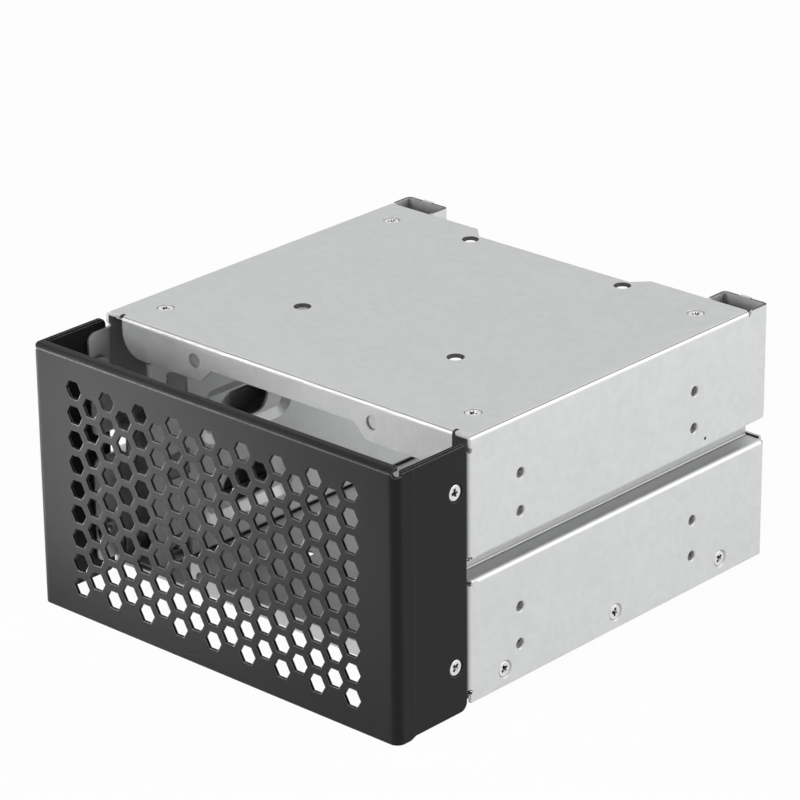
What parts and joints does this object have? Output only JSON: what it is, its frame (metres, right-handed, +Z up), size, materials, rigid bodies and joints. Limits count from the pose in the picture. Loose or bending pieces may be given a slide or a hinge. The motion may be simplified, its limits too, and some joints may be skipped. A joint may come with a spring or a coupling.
{
  "type": "hot swap drive cage",
  "caption": "Hot swap drive cage for two 5.25 inch bays: folded steel cage with guide panels for three drives and a black honeycomb fan guard.",
  "frame": {"origin": "centre of the cage body's underside, midway between the front lips and the rear flanges", "axes": "+Z up, +Y from the fan guard towards the open back, +X to the right seen from the guard"},
  "size_m": [0.146, 0.1668, 0.0852],
  "materials": {
    "galvanised_steel": "hot dip galvanised sheet, satin",
    "black_powder_coat": "fine matt black powder coat on steel sheet",
    "zinc_plated_screws": "bright zinc plate",
    "zinc_plated_nuts": "bright zinc plate"
  },
  "bodies": {
    "root": {"outer_shell": "galvanised_steel", "floor_plate": "galvanised_steel", "left_guide_panel": "galvanised_steel", "right_guide_panel": "galvanised_steel", "fan_guard": "black_powder_coat", "left_guide_top_screws": "zinc_plated_screws", "left_guide_top_nuts": "zinc_plated_nuts", "left_guide_foot_screws": "zinc_plated_screws", "left_guide_foot_nuts": "zinc_plated_nuts", "left_floor_screws": "zinc_plated_screws", "left_floor_nuts": "zinc_plated_nuts", "left_fan_guard_screws": "zinc_plated_screws", "left_fan_guard_nuts": "zinc_plated_nuts", "right_guide_top_screws": "zinc_plated_screws", "right_guide_top_nuts": "zinc_plated_nuts", "right_guide_foot_screws": "zinc_plated_screws", "right_guide_foot_nuts": "zinc_plated_nuts", "right_floor_screws": "zinc_plated_screws", "right_floor_nuts": "zinc_plated_nuts", "right_fan_guard_screws": "zinc_plated_screws", "right_fan_guard_nuts": "zinc_plated_nuts"}
  },
  "joints": []
}
